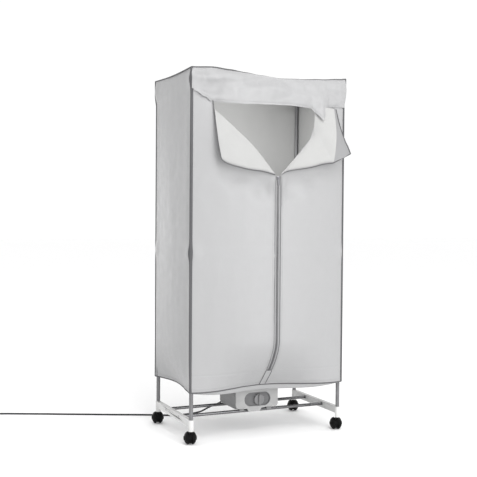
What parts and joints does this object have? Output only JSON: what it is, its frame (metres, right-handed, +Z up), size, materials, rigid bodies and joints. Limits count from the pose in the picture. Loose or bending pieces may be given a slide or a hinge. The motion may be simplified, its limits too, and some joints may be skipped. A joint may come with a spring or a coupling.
{
  "type": "heated clothes dryer",
  "caption": "Wardrobe-style heated clothes dryer: tube rack on casters, zip-up fabric cover and a fan heater with a timer knob below.",
  "frame": {"origin": "on the floor midway between the four casters, under the middle of the cover", "axes": "+X to the right seen from the front, +Y to the back, +Z up"},
  "size_m": [1.4168, 0.947, 1.4551],
  "materials": {
    "cover_fabric": "silver-grey coated weave, satin",
    "zip_tape": "woven zip tape and moulded teeth",
    "zip_metal": "dark moulded slider",
    "post_tube": "grey powder coat, satin",
    "base_tube": "dark bright plating",
    "frame_plastic": "white moulded, fine texture",
    "connector_plastic": "dark grey moulded",
    "screw_steel": "bright zinc",
    "caster_plastic": "black moulded",
    "caster_wheel": "black nylon wheel",
    "heater_shell": "mid grey moulded, fine texture",
    "heater_panel": "light grey moulded",
    "bezel_plastic": "dark grey moulded",
    "knob_plastic": "grey moulded",
    "timer_plastic": "ivory moulded",
    "motor_steel": "zinc",
    "impeller_plastic": "white moulded",
    "element_metal": "heat-stained fins",
    "cord_rubber": "black, satin",
    "plug_plastic": "black moulded"
  },
  "bodies": {
    "rack": {"base_left_frame": "frame_plastic", "base_right_frame": "frame_plastic", "base_front_tube": "base_tube", "base_rear_tube": "base_tube", "base_screws": "screw_steel", "lower_post_fl": "post_tube", "lower_post_fr": "post_tube", "lower_post_rl": "post_tube", "lower_post_rr": "post_tube", "upper_post_fl": "post_tube", "upper_post_fr": "post_tube", "upper_post_rl": "post_tube", "upper_post_rr": "post_tube", "mid_connectors": "connector_plastic", "top_connectors": "connector_plastic", "rail_clips": "connector_plastic", "side_bars": "post_tube", "edge_rails": "post_tube", "cross_rails": "post_tube", "caster_stems": "screw_steel", "heater_lower_case": "heater_shell", "heater_upper_case": "heater_shell", "heater_front_panel": "heater_panel", "control_bezel": "bezel_plastic", "timer_unit": "timer_plastic", "fan_motor": "motor_steel", "heating_element": "element_metal", "strain_relief": "cord_rubber", "heater_screws": "screw_steel", "cover_top": "cover_fabric", "cover_back": "cover_fabric", "cover_left": "cover_fabric", "cover_right": "cover_fabric", "cover_bottom": "cover_fabric", "cover_front_sill": "cover_fabric", "cord_lead": "cord_rubber", "cord_coil": "cord_rubber", "plug": "plug_plastic"},
    "timer_knob_body": {"timer_knob": "knob_plastic"},
    "impeller": {"fan_impeller": "impeller_plastic"},
    "door_left_body": {"door_left": "cover_fabric", "zip_left": "zip_tape"},
    "door_right_body": {"door_right": "cover_fabric", "zip_right": "zip_tape"},
    "valance_body": {"valance": "cover_fabric"},
    "slider": {"zip_slider": "zip_metal"},
    "pull": {"zip_pull": "zip_metal"},
    "caster_fl": {"caster_fl_housing": "caster_plastic"},
    "wheelset_fl": {"caster_fl_axle": "screw_steel", "caster_fl_wheels": "caster_wheel"},
    "caster_fr": {"caster_fr_housing": "caster_plastic"},
    "wheelset_fr": {"caster_fr_axle": "screw_steel", "caster_fr_wheels": "caster_wheel"},
    "caster_rl": {"caster_rl_housing": "caster_plastic"},
    "wheelset_rl": {"caster_rl_axle": "screw_steel", "caster_rl_wheels": "caster_wheel"},
    "caster_rr": {"caster_rr_housing": "caster_plastic"},
    "wheelset_rr": {"caster_rr_axle": "screw_steel", "caster_rr_wheels": "caster_wheel"}
  },
  "joints": [
    {"name": "caster_fl_swivel", "type": "hinge", "parent": "rack", "child": "caster_fl", "pos_m": [-0.327, -0.192, 0.045], "axis": [0, 0, 1], "continuous": true},
    {"name": "caster_fl_roll", "type": "hinge", "parent": "caster_fl", "child": "wheelset_fl", "pos_m": [-0.32326, -0.17439, 0.025], "axis": [0.9781, -0.2079, 0], "continuous": true},
    {"name": "caster_fr_swivel", "type": "hinge", "parent": "rack", "child": "caster_fr", "pos_m": [0.327, -0.192, 0.045], "axis": [0, 0, 1], "continuous": true},
    {"name": "caster_fr_roll", "type": "hinge", "parent": "caster_fr", "child": "wheelset_fr", "pos_m": [0.33074, -0.17439, 0.025], "axis": [0.9781, -0.2079, 0], "continuous": true},
    {"name": "caster_rl_swivel", "type": "hinge", "parent": "rack", "child": "caster_rl", "pos_m": [-0.327, 0.192, 0.045], "axis": [0, 0, 1], "continuous": true},
    {"name": "caster_rl_roll", "type": "hinge", "parent": "caster_rl", "child": "wheelset_rl", "pos_m": [-0.32326, 0.20961, 0.025], "axis": [0.9781, -0.2079, 0], "continuous": true},
    {"name": "caster_rr_swivel", "type": "hinge", "parent": "rack", "child": "caster_rr", "pos_m": [0.327, 0.192, 0.045], "axis": [0, 0, 1], "continuous": true},
    {"name": "caster_rr_roll", "type": "hinge", "parent": "caster_rr", "child": "wheelset_rr", "pos_m": [0.33074, 0.20961, 0.025], "axis": [0.9781, -0.2079, 0], "continuous": true},
    {"name": "timer_turn", "type": "hinge", "parent": "rack", "child": "timer_knob_body", "pos_m": [0.008, -0.1, 0.135], "axis": [0, 1, 0], "range_deg": [0, 300]},
    {"name": "fan_spin", "type": "hinge", "parent": "rack", "child": "impeller", "pos_m": [0, 0, 0.15], "axis": [0, 0, 1], "continuous": true},
    {"name": "door_left_swing", "type": "hinge", "parent": "rack", "child": "door_left_body", "pos_m": [-0.338, -0.21, 0.8], "axis": [0, 0, -1], "range_deg": [0, 110]},
    {"name": "door_right_swing", "type": "hinge", "parent": "rack", "child": "door_right_body", "pos_m": [0.338, -0.21, 0.8], "axis": [0, 0, 1], "range_deg": [0, 110]},
    {"name": "valance_lift", "type": "hinge", "parent": "rack", "child": "valance_body", "pos_m": [0, -0.212, 1.445], "axis": [-1, 0, 0], "range_deg": [0, 100]},
    {"name": "zip_slide", "type": "slide", "parent": "door_left_body", "child": "slider", "axis": [0, 0, -1], "range_m": [0, 0.66]},
    {"name": "pull_swing", "type": "hinge", "parent": "slider", "child": "pull", "pos_m": [0, -0.2805, 1.039], "axis": [-1, 0, 0], "range_deg": [0, 150]}
  ]
}
